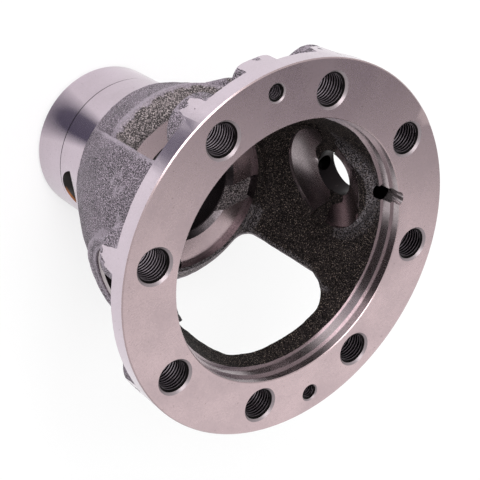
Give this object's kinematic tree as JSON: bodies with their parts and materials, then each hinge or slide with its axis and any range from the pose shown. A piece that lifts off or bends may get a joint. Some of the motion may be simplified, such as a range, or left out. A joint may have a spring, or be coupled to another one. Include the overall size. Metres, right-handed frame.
{
  "type": "differential case",
  "caption": "Hollow iron case that carries a vehicle's differential gears, with a tapped flange at its mouth, side windows, a cross-pin bore and a bearing hub.",
  "frame": {"origin": "centre of the hub's end face, on the axle axis", "axes": "+Z along the axle axis from the hub's end to the flange face, X along the cross pin, with the lock-pin hole on the -X side"},
  "size_m": [0.138, 0.138, 0.124],
  "materials": {
    "differential_case": "satin"
  },
  "bodies": {
    "root": {"differential_case": "differential_case"}
  },
  "joints": []
}
